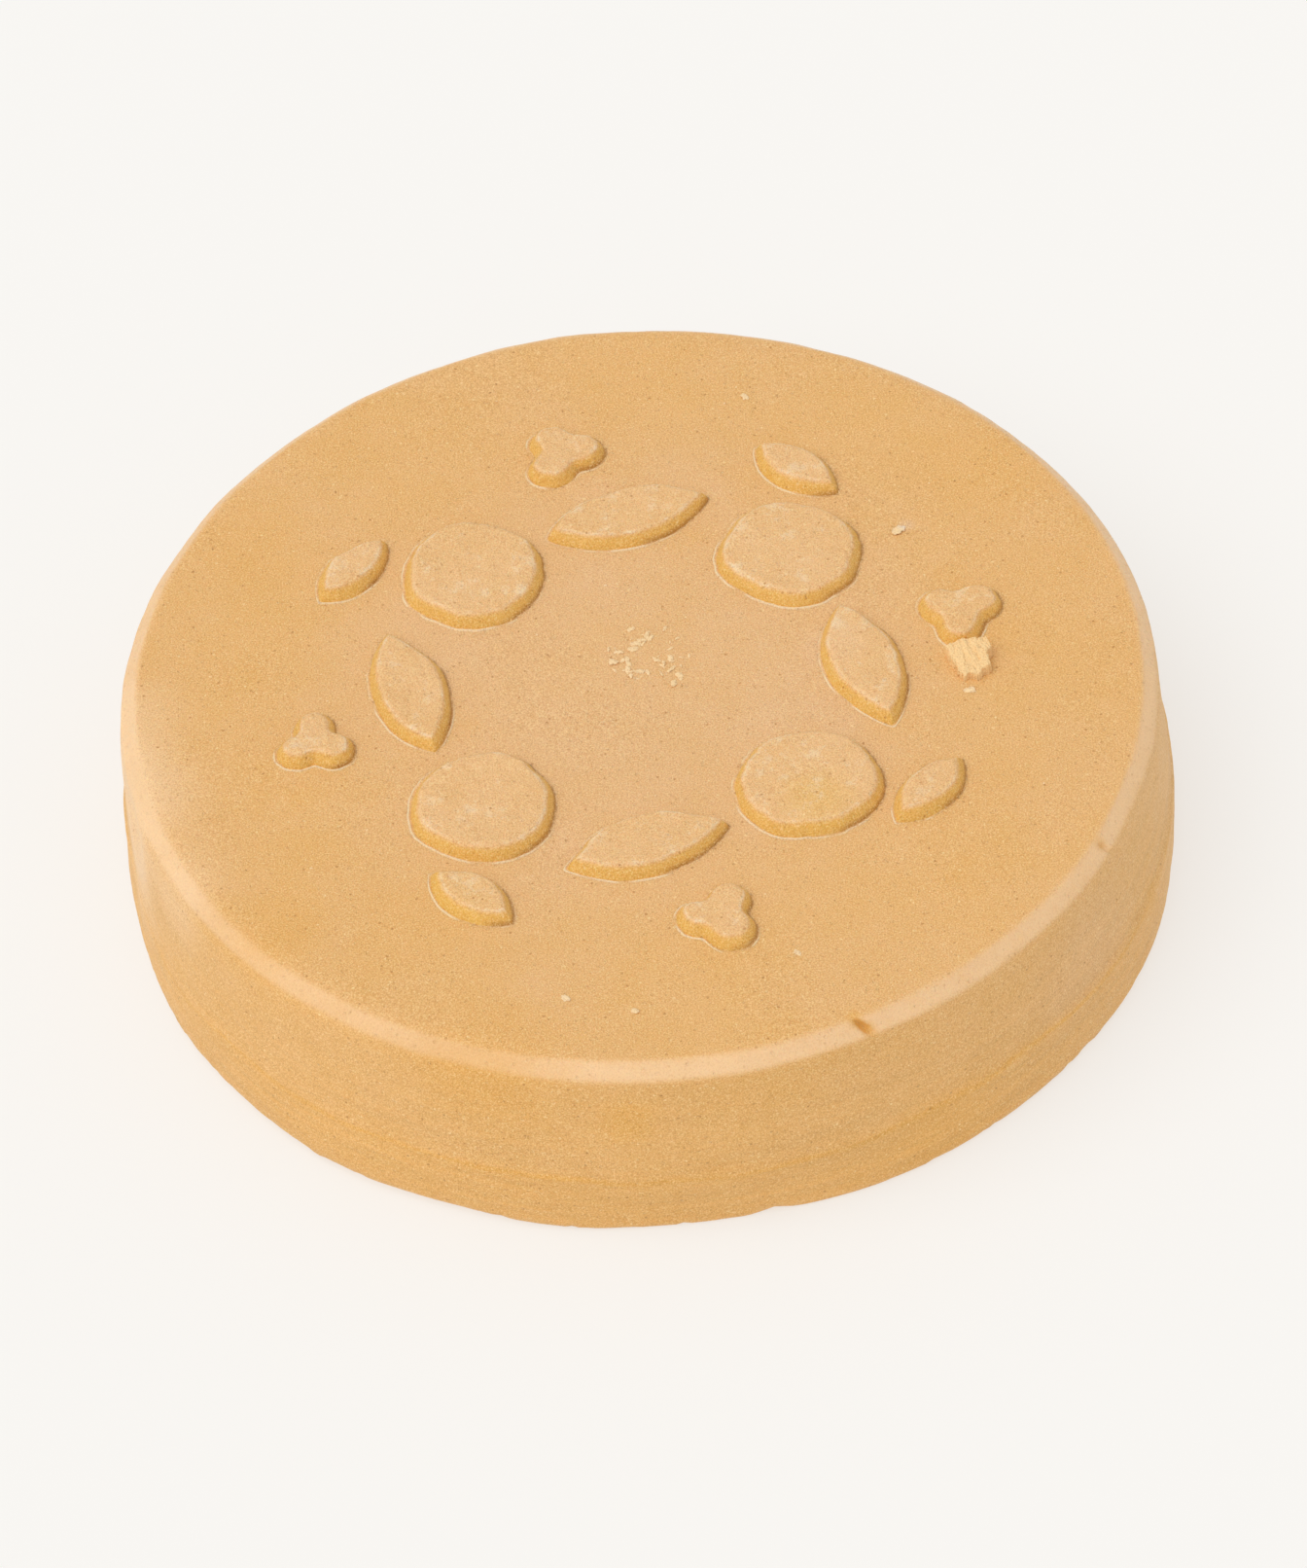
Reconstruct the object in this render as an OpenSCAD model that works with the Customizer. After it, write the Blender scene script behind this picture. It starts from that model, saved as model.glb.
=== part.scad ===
// Shaving soap puck: a round cast cake with a ring of low moulded relief on its top face.
// Millimetres, +Z up. The origin is the centre of the foot, on the surface that the puck rests on.

/* [Cake] */
// Diameter of the foot band, the widest part of the cake
cake_d = 70; // [58:1:90]
// Height from the foot to the top face
cake_h = 14.6; // [11:0.1:30]
// Height of the upright foot band, up to the mould line
foot_band_h = 5.2; // [3:0.1:8]
// How far the wall steps in at the mould line
mould_step = 0.2; // [0.05:0.05:0.6]
// How far the wall leans in between the mould line and the rim
wall_lean = 0.8; // [0.1:0.1:2]
// Width and depth of the bevel round the top face
rim_bevel = 1; // [0.4:0.1:2]
// Radius of the rounding round the foot
foot_round = 0.5; // [0.2:0.1:1.6]

/* [Relief] */
// Height that the motifs stand above the top face
relief_h = 1; // [0.5:0.1:2]
// How far a motif's wall leans in on its way up
relief_draft = 0.25; // [0.05:0.05:0.4]
// Radius that rounds the top edge of the fruits and the leaves
shoulder_r = 0.3; // [0.1:0.05:0.35]
// Space between a fruit and the leaf beside it
motif_gap = 1.1; // [0.4:0.1:3]
// Space between the fruits and the outer ring of motifs
ring_gap = 0.3; // [0.2:0.1:2]

/* [Motifs] */
// Diameter of a fruit
fruit_d = 9.4; // [6:0.1:11.4]
// Length of a leaf, tip to tip
leaf_l = 11.2; // [8:0.1:13.6]
// Width of a leaf
leaf_w = 5.2; // [3:0.1:6.4]
// Length of a leaflet, tip to tip
leaflet_l = 7; // [5:0.1:8.4]
// Width of a leaflet
leaflet_w = 3.6; // [2.4:0.1:4.4]
// Diameter of one berry in a cluster
berry_d = 3.2; // [2.4:0.1:4]
// Distance from a cluster's centre to the centre of each of its berries
berry_spread = 1.35; // [0.9:0.05:1.65]

/* [Crumbs] */
// Height of the torn flake
flake_h = 1.4; // [0.8:0.1:2]
// Width of the torn flake
flake_w = 3.2; // [2:0.1:4]
// Radius of the largest crumb
crumb_r = 0.6; // [0.3:0.1:1]
// Space between the torn flake and what lies beside it
flake_gap = 0.1; // [0.1:0.1:0.5]

/* [Hidden] */
$fn = 96;
repeats = 4;
berries_in_cluster = 3;
mould_step_h = 0.3;

fruit_azimuth = 45;
leaf_azimuth = 0;
leaflet_azimuth = 58;
berries_azimuth = 11;
leaf_tilt = 15;
leaflet_tilt = -10;
berries_tilt = 20;

wall_foot_r = cake_d / 2 - mould_step;
rim_r = wall_foot_r - wall_lean;
face_r = rim_r - rim_bevel;

inner_ring_r = (fruit_d / 2 + leaf_l / 2 + motif_gap) / (2 * sin(90 / repeats));
outer_ring_r = inner_ring_r + fruit_d / 2 + ring_gap + leaflet_w / 2;
cluster_r = berry_spread + berry_d / 2;
relief_r = outer_ring_r + cluster_r;

flake_azimuth = berries_azimuth - azimuth_span(cluster_r + flake_gap + flake_w / 2, outer_ring_r);
crumb_azimuth = flake_azimuth - azimuth_span(flake_w / 2 + flake_gap + crumb_r, outer_ring_r);

// Each crumb: distance from the centre, azimuth, share of the largest crumb's radius
crumbs = [
    [outer_ring_r, (berries_azimuth + leaflet_azimuth) / 2, 1],
    [outer_ring_r, crumb_azimuth, 0.8],
    [plain_band_r(0.2), -70, 0.6],
    [plain_band_r(0.4), -102, 0.6],
    [plain_band_r(0.5), -93, 0.5],
    [plain_band_r(0.3), 72, 0.6],
];

// Angle at the cake's centre between two points that lie a given distance apart along a ring
function azimuth_span(distance, radius) = 2 * asin(distance / (2 * radius));

// Distance from the centre to a place in the plain band, from 0 at the relief to 1 at the bevel
function plain_band_r(share) = relief_r + share * (face_r - relief_r);

// Radius of the two equal arcs that bound a leaf
function leaf_arc_r(length, width) = (length * length + width * width) / (4 * width);

// Where a line from point p touches the right-hand side of a circle
function touch_point(p, centre, r) =
    let (
        d = norm(centre - p),
        towards = atan2(centre[1] - p[1], centre[0] - p[0]),
        heading = towards - asin(r / d)
    )
    p + sqrt(d * d - r * r) * [cos(heading), sin(heading)];

// Puts a shape on the top face, turned so that its own Y axis points outwards
module on_face(radius, azimuth, tilt = 0) {
    rotate([0, 0, azimuth - 90])
        translate([0, radius, cake_h])
            rotate([0, 0, tilt])
                children();
}

// Round pad with a leaning wall and a rounded top edge
module pad(r) {
    centre = [r - relief_draft - shoulder_r, relief_h - shoulder_r];
    touch = touch_point([r, 0], centre, shoulder_r);
    rotate_extrude() {
        polygon([[0, 0], [r, 0], touch, centre, [centre[0], relief_h], [0, relief_h]]);
        translate(centre) circle(shoulder_r);
    }
}

// Pointed leaf, where two round pads overlap
module leaf_pad(length, width) {
    r = leaf_arc_r(length, width);
    intersection() {
        translate([0, r - width / 2, 0]) pad(r);
        translate([0, width / 2 - r, 0]) pad(r);
    }
}

module cake() {
    color([0.87, 0.68, 0.44])
        rotate_extrude() {
            polygon([
                [0, 0],
                [cake_d / 2 - foot_round, 0],
                [cake_d / 2 - foot_round, foot_round],
                [cake_d / 2, foot_round],
                [cake_d / 2, foot_band_h],
                [wall_foot_r, foot_band_h + mould_step_h],
                [rim_r, cake_h - rim_bevel],
                [face_r, cake_h],
                [0, cake_h],
            ]);
            translate([cake_d / 2 - foot_round, foot_round]) circle(foot_round);
        }
}

module fruit(i) {
    color([0.9, 0.73, 0.52])
        on_face(inner_ring_r, fruit_azimuth + i * 360 / repeats)
            pad(fruit_d / 2);
}

module leaf(i) {
    color([0.9, 0.73, 0.52])
        on_face(inner_ring_r, leaf_azimuth + i * 360 / repeats, leaf_tilt)
            leaf_pad(leaf_l, leaf_w);
}

module leaflet(i) {
    color([0.91, 0.74, 0.53])
        on_face(outer_ring_r, leaflet_azimuth + i * 360 / repeats, leaflet_tilt)
            leaf_pad(leaflet_l, leaflet_w);
}

module berries(i) {
    color([0.9, 0.72, 0.5])
        on_face(outer_ring_r, berries_azimuth + i * 360 / repeats, berries_tilt)
            for (k = [0:berries_in_cluster - 1])
                rotate([0, 0, k * 360 / berries_in_cluster])
                    translate([0, berry_spread, 0])
                        cylinder(h = relief_h, r1 = berry_d / 2, r2 = berry_d / 2 - relief_draft);
}

// Chunk torn from the soap, lying beside the first cluster of berries, with a sloping broken top
module torn_flake() {
    half = flake_w / 2;
    color([0.95, 0.83, 0.64])
        on_face(outer_ring_r, flake_azimuth)
            intersection() {
                linear_extrude(flake_h)
                    polygon([
                        [-half, -0.5 * half],
                        [-0.4 * half, -half],
                        [0.7 * half, -0.8 * half],
                        [half, 0.2 * half],
                        [0.4 * half, half],
                        [-0.7 * half, 0.8 * half],
                    ]);
                translate([0, 0, flake_h / 2])
                    rotate([12, 8, 0])
                        cube([2 * flake_w, 2 * flake_w, flake_h], center = true);
            }
}

// Crumbs stuck to the top face, each a low dome
module loose_crumbs() {
    color([0.95, 0.84, 0.67])
        for (c = crumbs) {
            r = crumb_r * c[2];
            on_face(c[0], c[1])
                intersection() {
                    translate([0, 0, -r / 3]) sphere(r);
                    translate([-r, -r, 0]) cube(2 * r);
                }
        }
}

cake();
for (i = [1:repeats]) fruit(i - 1);
for (i = [1:repeats]) leaf(i - 1);
for (i = [1:repeats]) leaflet(i - 1);
for (i = [1:repeats]) berries(i - 1);
torn_flake();
loose_crumbs();
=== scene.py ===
"""Shaving soap puck: a worn, cast cake of soap with low moulded relief, on a pale studio floor.

Lengths are in metres, and the finishes read places in millimetres. Sizes and places come from the
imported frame, and each piece is laid over the solid that it stands for.
"""

import logging
import math
from dataclasses import dataclass, field
from enum import Enum
from typing import Any

import bmesh
import bpy
import numpy as np
from mathutils import Matrix, Vector, noise


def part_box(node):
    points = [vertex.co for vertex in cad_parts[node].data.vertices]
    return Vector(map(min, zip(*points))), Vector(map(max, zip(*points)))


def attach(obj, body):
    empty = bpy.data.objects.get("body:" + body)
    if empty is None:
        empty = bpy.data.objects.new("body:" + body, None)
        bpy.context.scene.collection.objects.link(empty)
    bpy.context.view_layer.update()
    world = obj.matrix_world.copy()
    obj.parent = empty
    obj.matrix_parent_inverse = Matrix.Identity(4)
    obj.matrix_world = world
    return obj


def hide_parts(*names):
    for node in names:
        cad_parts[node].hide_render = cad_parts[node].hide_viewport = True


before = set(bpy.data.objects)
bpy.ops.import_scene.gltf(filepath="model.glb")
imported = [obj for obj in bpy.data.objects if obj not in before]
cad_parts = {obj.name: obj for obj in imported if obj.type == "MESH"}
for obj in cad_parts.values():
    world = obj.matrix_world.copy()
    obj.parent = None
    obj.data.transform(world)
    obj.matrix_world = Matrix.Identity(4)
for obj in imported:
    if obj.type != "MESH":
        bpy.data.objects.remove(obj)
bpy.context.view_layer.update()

MM = 0.001
# Lengths that differ by less than this count as the same
SAME = 0.001 * MM
LOG = logging.getLogger("soap_puck")

Colour = tuple[float, float, float, float]
Socket = bpy.types.NodeSocket


def linear(red: float, green: float, blue: float) -> Colour:
    """Turns a colour given from 0 to 255 a channel into the linear values that a shader takes.

    Args:
        red: The red channel.
        green: The green channel.
        blue: The blue channel.

    Returns:
        The linear colour, with full alpha.
    """
    shares = [value / 255 for value in (red, green, blue)]
    bent = [s / 12.92 if s <= 0.04045 else ((s + 0.055) / 1.055) ** 2.4 for s in shares]
    return (bent[0], bent[1], bent[2], 1.0)


def heading(turn: float) -> Vector:
    """Returns the flat direction that lies at a turn in radians."""
    return Vector((math.cos(turn), math.sin(turn), 0.0))


def around(azimuth: float) -> Vector:
    """Returns the flat direction that points outwards at an azimuth in degrees."""
    return heading(math.radians(azimuth))


def added(name: str, data: bpy.types.ID) -> bpy.types.Object:
    """Adds an object that holds the data to the scene, and returns it."""
    made = bpy.data.objects.new(name, data)
    bpy.context.scene.collection.objects.link(made)
    return made


class TreeWriter:
    """Adds nodes and links to a shader tree or a geometry tree."""

    def __init__(self, tree: bpy.types.NodeTree) -> None:
        """Keeps the tree that is written to."""
        self.tree = tree

    def node(self, kind: str, **settings: Any) -> bpy.types.Node:
        """Adds a node and sets its properties.

        Args:
            kind: The node's type.
            settings: Values for the node's properties, by name.

        Returns:
            The new node.
        """
        made = self.tree.nodes.new(kind)
        for name, value in settings.items():
            setattr(made, name, value)
        return made

    def feed(self, socket: Socket, value: Any) -> None:
        """Links a socket to another node's output, or sets the socket's own value."""
        if isinstance(value, bpy.types.NodeSocket):
            self.tree.links.new(value, socket)
        else:
            socket.default_value = value

    def math(self, operation: str, *values: Any) -> Socket:
        """Returns the output of a Math node fed with the values in order."""
        made = self.node("ShaderNodeMath", operation=operation)
        for socket, value in zip(made.inputs, values):
            self.feed(socket, value)
        return made.outputs[0]

    def product(self, *values: Any) -> Socket:
        """Returns all the values multiplied together."""
        total = values[0]
        for value in values[1:]:
            total = self.math("MULTIPLY", total, value)
        return total

    def total(self, *values: Any) -> Socket:
        """Returns all the values added together."""
        summed = values[0]
        for value in values[1:]:
            summed = self.math("ADD", summed, value)
        return summed

    def rest(self, share: Any) -> Socket:
        """Returns what a share leaves of one."""
        return self.math("SUBTRACT", 1.0, share)

    def capped(self, value: Any) -> Socket:
        """Returns a value, or one where the value is greater."""
        return self.math("MINIMUM", value, 1.0)

    def vector(self, operation: str, *values: Any) -> Socket:
        """Returns the output of a Vector Math node, a number where the operation gives one."""
        made = self.node("ShaderNodeVectorMath", operation=operation)
        for socket, value in zip(made.inputs, values):
            self.feed(socket, value)
        gives_number = operation in ("LENGTH", "DISTANCE", "DOT_PRODUCT")
        return made.outputs["Value" if gives_number else "Vector"]

    def scaled(self, direction: Any, scale: Any) -> Socket:
        """Returns a vector times a number."""
        made = self.node("ShaderNodeVectorMath", operation="SCALE")
        self.feed(made.inputs[0], direction)
        self.feed(made.inputs["Scale"], scale)
        return made.outputs["Vector"]

    def split(self, direction: Socket) -> tuple[Socket, Socket, Socket]:
        """Returns the X, Y and Z of a vector."""
        made = self.node("ShaderNodeSeparateXYZ")
        self.feed(made.inputs[0], direction)
        return made.outputs[0], made.outputs[1], made.outputs[2]

    def join(self, x: Any, y: Any, z: Any) -> Socket:
        """Returns a vector made of three numbers."""
        made = self.node("ShaderNodeCombineXYZ")
        for socket, value in zip(made.inputs, (x, y, z)):
            self.feed(socket, value)
        return made.outputs[0]

    def levelled(self, direction: Any) -> Socket:
        """Returns a vector with its Z taken away."""
        return self.vector("MULTIPLY", direction, (1.0, 1.0, 0.0))

    def ramp(self, value: Any, start: Any, end: Any, low: Any = 0.0, high: Any = 1.0) -> Socket:
        """Returns low up to start, high from end on, and a smooth change in between."""
        made = self.node("ShaderNodeMapRange", interpolation_type="SMOOTHSTEP")
        for socket, given in zip(made.inputs, (value, start, end, low, high)):
            self.feed(socket, given)
        return made.outputs[0]

    def noise(self, place: Any, size: float, detail: float = 2.0, seed: Any = 0.0,
              roughness: float = 0.5) -> Socket:
        """Returns soft noise from -1 to 1, whose features are about one size across.

        Args:
            place: Where the noise is read.
            size: How far apart its features are, in the units of place.
            detail: How many finer layers it has.
            seed: Which of the endless noises it is.
            roughness: How strong the finer layers are.

        Returns:
            The noise at that place.
        """
        made = self.node("ShaderNodeTexNoise", noise_dimensions="4D")
        self.feed(made.inputs["Vector"], place)
        self.feed(made.inputs["W"], seed)
        self.feed(made.inputs["Scale"], 1 / size)
        self.feed(made.inputs["Detail"], detail)
        self.feed(made.inputs["Roughness"], roughness)
        return self.math("MULTIPLY_ADD", made.outputs[0], 2.0, -1.0)

    def cells(self, place: Any, size: float) -> Socket:
        """Returns the distance to the nearest of many scattered points, in cell sizes."""
        made = self.node("ShaderNodeTexVoronoi", feature="F1")
        self.feed(made.inputs["Vector"], place)
        self.feed(made.inputs["Scale"], 1 / size)
        return made.outputs["Distance"]

    def mix(self, share: Any, first: Any, second: Any, kind: str = "FLOAT") -> Socket:
        """Returns first where share is 0 and second where it is 1.

        Args:
            share: How much of the second value is taken.
            first: The value at 0.
            second: The value at 1.
            kind: What is mixed: FLOAT, VECTOR or RGBA.

        Returns:
            The mixed value.
        """
        slots = {"FLOAT": (2, 3, 0), "VECTOR": (4, 5, 1), "RGBA": (6, 7, 2)}[kind]
        made = self.node("ShaderNodeMix", data_type=kind)
        self.feed(made.inputs[0], share)
        self.feed(made.inputs[slots[0]], first)
        self.feed(made.inputs[slots[1]], second)
        return made.outputs[slots[2]]


class Mark(Enum):
    """What a mesh tells its finish about each of its points."""

    TOP = "top_share"
    BEVEL = "bevel_share"
    FOOT = "foot_share"
    RUBBED = "rubbed_share"
    RISE = "rise_share"
    STEEP = "steep_share"
    CREST = "crest_share"
    # Partly painted highlight: a real thread of flash, painted pale on the side that faces the key light
    FLASH = "flash_share"
    # Painted shade: a dark line at each motif's foot, on the side away from the key light
    CREASE = "crease_share"


Marks = dict[Mark, Socket]


# Share of a patch's size that it fills in full, before it starts to fade
PATCH_CORE = 0.2
# Radii between which the top face turns from plain to dusty, in millimetres
DUSTY_RADII = (25.0, 14.0)
# Heights between which the side turns from faintly to fully streaked, in millimetres
STREAKY_HEIGHTS = (12.0, 5.0)
# Height of the dark line that the mould left round the side, in millimetres
STAIN_LINE = 5.1


@dataclass(frozen=True)
class Patch:
    """A place on the puck where the soap is dustier, deeper or paler than round it.

    Its azimuth is in degrees, and its other sizes are in millimetres.
    """

    azimuth: float
    radius: float
    height: float
    size: float
    bloom: float = 0.0
    deep: float = 0.0
    pale: float = 0.0

    def share(self, tree: TreeWriter, place: Socket) -> Socket:
        """Returns 1 at the middle of the patch and 0 outside it."""
        middle = around(self.azimuth) * self.radius + Vector((0.0, 0.0, self.height))
        full = PATCH_CORE * self.size
        return tree.ramp(tree.vector("DISTANCE", place, middle), full, self.size, 1.0, 0.0)


PATCHES = (
    Patch(-36, 34.5, 7.0, 8.0, bloom=0.45),
    Patch(-167, 34.8, 7.5, 6.0, pale=0.45),
    Patch(-171, 34.3, 10.3, 6.5, pale=0.55),
    Patch(-178, 34.0, 12.8, 6.0, pale=0.7),
    Patch(-167, 34.0, 12.6, 6.5, pale=0.8),
    Patch(-154, 34.0, 13.0, 5.0, pale=0.5),
    Patch(-140, 31.0, 14.6, 4.5, deep=0.45),
    Patch(-110, 33.5, 13.2, 7.0, deep=0.45),
    Patch(-94, 34.2, 10.4, 3.0, deep=0.5),
    Patch(-60, 35.0, 2.0, 7.0, deep=0.3),
    # Painted shade: deeper, darker colour in the hollows of the two rim nicks
    Patch(-68.1, 32.8, 14.2, 0.9, deep=1.0),
    Patch(-67.1, 33.3, 13.7, 0.9, deep=1.0),
    Patch(-30, 33.1, 13.9, 0.9, deep=0.8),
    Patch(150, 29.0, 14.6, 6.0, deep=0.3),
    Patch(35, 29.0, 14.6, 7.0, deep=0.25),
    Patch(-125, 24.5, 14.6, 6.0, deep=0.25),
    Patch(-48, 16.5, 15.6, 3.4, deep=0.45),
    Patch(8, 13.0, 15.6, 3.0, bloom=0.5),
    Patch(34.5, 22.4, 15.0, 0.9, bloom=1.0),
)


@dataclass(frozen=True)
class SoapFinish:
    """Waxy hard soap: sound soap under a dusty bloom, pale on its edges, partly from rubbing and partly
    as a painted highlight, with painted shade in the creases at the motifs' feet.
    """

    name: str
    sound: Colour = linear(235, 182, 108)
    bloom: Colour = linear(234, 190, 143)
    deep: Colour = linear(234, 176, 90)
    # Pale of the bevel: partly rubbed wear, partly a painted highlight along the rim
    rubbed: Colour = linear(249, 209, 162)
    chalk: Colour = linear(250, 224, 186)
    fleck: Colour = linear(255, 222, 164)
    # Dark brown of the pits, also used for the painted shade in the creases at the motifs' feet
    pit_and_shade: Colour = linear(176, 116, 52)
    bloom_share: float = 0.25
    # Bloom in the middle of the top, on the raised tops, and in cloudy patches
    middle_bloom: float = 0.45
    raised_bloom: float = 0.25
    cloudy_bloom: float = 0.35
    # Depth of colour on the side, along the mould line, on steep walls, at the foot and in clouds
    side_depth: float = 0.4
    line_depth: float = 0.5
    steep_depth: float = 0.8
    foot_depth: float = 0.25
    cloud_depth: float = 0.5
    # Chalk on the raised tops, along their edges and on the flash, where it is partly a painted
    # highlight, and the darkness of the painted shade in the creases
    top_chalk: float = 0.6
    crest_chalk: float = 0.6
    flash_chalk: float = 0.9
    crease_shade_strength: float = 0.65
    # Strength of the coarser and the finer grit, and of the specks
    coarse_grit: float = 0.48
    fine_grit: float = 1.5
    dark_grit: float = 0.6
    speck_grit: float = 0.5
    # Heights in the fine relief, in millimetres
    fine_height: float = 0.036
    coarse_height: float = 0.02
    pit_height: float = -0.04
    streak_height: float = 0.06
    torn_height: float = 0.07
    crumble: float = 0.0
    roughness: float = 0.5
    shine: float = 0.35
    glow: float = 0.22
    glow_depth: float = 0.6 * MM
    glow_spread: tuple[float, float, float] = (1.0, 0.65, 0.35)

    def material(self) -> bpy.types.Material:
        """Returns the finish as a material."""
        made = bpy.data.materials.new(self.name)
        made.use_nodes = True
        made.node_tree.nodes.clear()
        tree = TreeWriter(made.node_tree)
        place = tree.scaled(tree.node("ShaderNodeTexCoord").outputs["Object"], 1 / MM)
        marks = {mark: self.read(tree, mark) for mark in Mark}
        shader = tree.node("ShaderNodeBsdfPrincipled")
        tree.feed(shader.inputs["Base Color"], self.colour(tree, place, marks))
        tree.feed(shader.inputs["Roughness"], self.sheen(tree, place, marks))
        tree.feed(shader.inputs["Normal"], self.grain(tree, place, marks))
        shader.inputs["Subsurface Weight"].default_value = self.glow
        shader.inputs["Subsurface Radius"].default_value = self.glow_spread
        shader.inputs["Subsurface Scale"].default_value = self.glow_depth
        shader.inputs["Specular IOR Level"].default_value = self.shine
        drain = tree.node("ShaderNodeOutputMaterial")
        tree.feed(drain.inputs["Surface"], shader.outputs[0])
        return made

    @staticmethod
    def read(tree: TreeWriter, mark: Mark) -> Socket:
        """Returns what a mark says at each point."""
        return tree.node("ShaderNodeAttribute", attribute_name=mark.value).outputs["Fac"]

    @staticmethod
    def patched(tree: TreeWriter, place: Socket, kind: str) -> Socket:
        """Returns how much of one kind of patch lies at each point.

        Args:
            tree: The tree that is written to.
            place: The point on the piece, in millimetres.
            kind: The patches' field: bloom, deep or pale.

        Returns:
            The sum of the patches.
        """
        found = [(patch, getattr(patch, kind)) for patch in PATCHES]
        lying = [tree.product(patch.share(tree, place), share) for patch, share in found if share]
        return tree.total(*lying)

    def bloom_at(self, tree: TreeWriter, place: Socket, marks: Marks, blotch: Socket) -> Socket:
        """Returns how much dusty bloom lies on the soap: most in the middle and on raised tops."""
        distance = tree.vector("LENGTH", tree.levelled(place))
        centre = tree.product(marks[Mark.TOP], tree.ramp(distance, *DUSTY_RADII))
        share = tree.total(
            self.bloom_share,
            tree.product(centre, self.middle_bloom),
            tree.product(marks[Mark.RISE], self.raised_bloom),
            tree.product(marks[Mark.STEEP], -1.0),
            tree.product(tree.noise(place, 11.0, detail=3, seed=1.3), self.cloudy_bloom),
            tree.product(blotch, self.cloudy_bloom),
            self.patched(tree, place, "bloom"),
        )
        return tree.capped(tree.math("MAXIMUM", share, 0.0))

    def depth_at(self, tree: TreeWriter, place: Socket, marks: Marks, stain_and_nick_shade: Socket) -> Socket:
        """Returns how deep and waxy the colour is: most on the motifs' walls and at the foot."""
        z = tree.split(place)[2]
        cloud = tree.noise(place, 6.0, detail=4, seed=5.2)
        side = tree.rest(tree.total(marks[Mark.TOP], marks[Mark.BEVEL], marks[Mark.RISE]))
        line = tree.math("MULTIPLY_ADD", cloud, 0.9, tree.math("SUBTRACT", z, STAIN_LINE))
        low = tree.math("MULTIPLY_ADD", marks[Mark.RISE], -0.8, 1.0)
        share = tree.total(
            tree.product(side, self.side_depth),
            tree.product(side, tree.ramp(tree.math("ABSOLUTE", line), 0.3, 0.05, 0.0, self.line_depth)),
            tree.product(marks[Mark.STEEP], self.steep_depth),
            tree.product(marks[Mark.FOOT], self.foot_depth),
            tree.product(tree.ramp(cloud, 0.15, 0.7, 0.0, self.cloud_depth), low),
            stain_and_nick_shade,
        )
        return tree.capped(share)

    def pale_at(self, tree: TreeWriter, place: Socket, marks: Marks, stain_and_nick_shade: Socket) -> Socket:
        """Returns how far the soap is painted pale: most of all on the bevel, where the pale is partly
        rubbed wear and partly a painted highlight, and in the pale patches.
        """
        worn = tree.noise(place, 1.7, detail=4, seed=3.9, roughness=0.65)
        kept = tree.math("MULTIPLY_ADD", marks[Mark.RUBBED], -0.35, 1.0)
        share = tree.total(
            tree.product(marks[Mark.BEVEL], tree.ramp(worn, -0.6, 0.1, 0.6, 0.9), kept),
            self.patched(tree, place, "pale"),
        )
        return tree.product(tree.capped(share), tree.rest(tree.capped(stain_and_nick_shade)))

    def colour(self, tree: TreeWriter, place: Socket, marks: Marks) -> Socket:
        """Mixes the soap's colours over the surface.

        Args:
            tree: The tree that is written to.
            place: The point on the piece, in millimetres.
            marks: What the mesh says about the point.

        Returns:
            The colour.
        """
        blotch = tree.noise(place, 2.6, detail=4, seed=4.1, roughness=0.6)
        scuff = tree.noise(place, 1.5, detail=5, seed=8.8, roughness=0.75)
        # Deeper-coloured patches: stains, and painted shade in the rim nicks
        stain_and_nick_shade = self.patched(tree, place, "deep")
        skin = tree.mix(self.bloom_at(tree, place, marks, blotch), self.sound, self.bloom, "RGBA")
        skin = tree.mix(self.depth_at(tree, place, marks, stain_and_nick_shade), skin, self.deep, "RGBA")
        # Pale bevel: partly rubbed wear, partly a painted highlight
        skin = tree.mix(self.pale_at(tree, place, marks, stain_and_nick_shade), skin, self.rubbed, "RGBA")
        raised = tree.product(marks[Mark.RISE], tree.rest(marks[Mark.STEEP]))
        # Chalk on the raised tops and edges, and the pale flash, which is partly a painted highlight
        chalk_and_highlight = tree.total(
            tree.product(raised, tree.ramp(scuff, 0.06, 0.3, 0.0, self.top_chalk)),
            tree.product(marks[Mark.CREST], tree.ramp(scuff, -0.2, 0.2, 0.0, self.crest_chalk)),
            tree.product(marks[Mark.FLASH], self.flash_chalk),
        )
        skin = tree.mix(tree.capped(chalk_and_highlight), skin, self.chalk, "RGBA")
        # Painted shade: the creases at the motifs' feet are darkened on the side away from the key light
        skin = tree.mix(tree.product(marks[Mark.CREASE], self.crease_shade_strength), skin, self.pit_and_shade, "RGBA")
        tint = tree.total(
            1.0,
            tree.product(blotch, 0.05),
            tree.product(self.streak_at(tree, place, marks), 0.2),
        )
        return self.gritty(tree, place, marks, tree.scaled(skin, tint))

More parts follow.
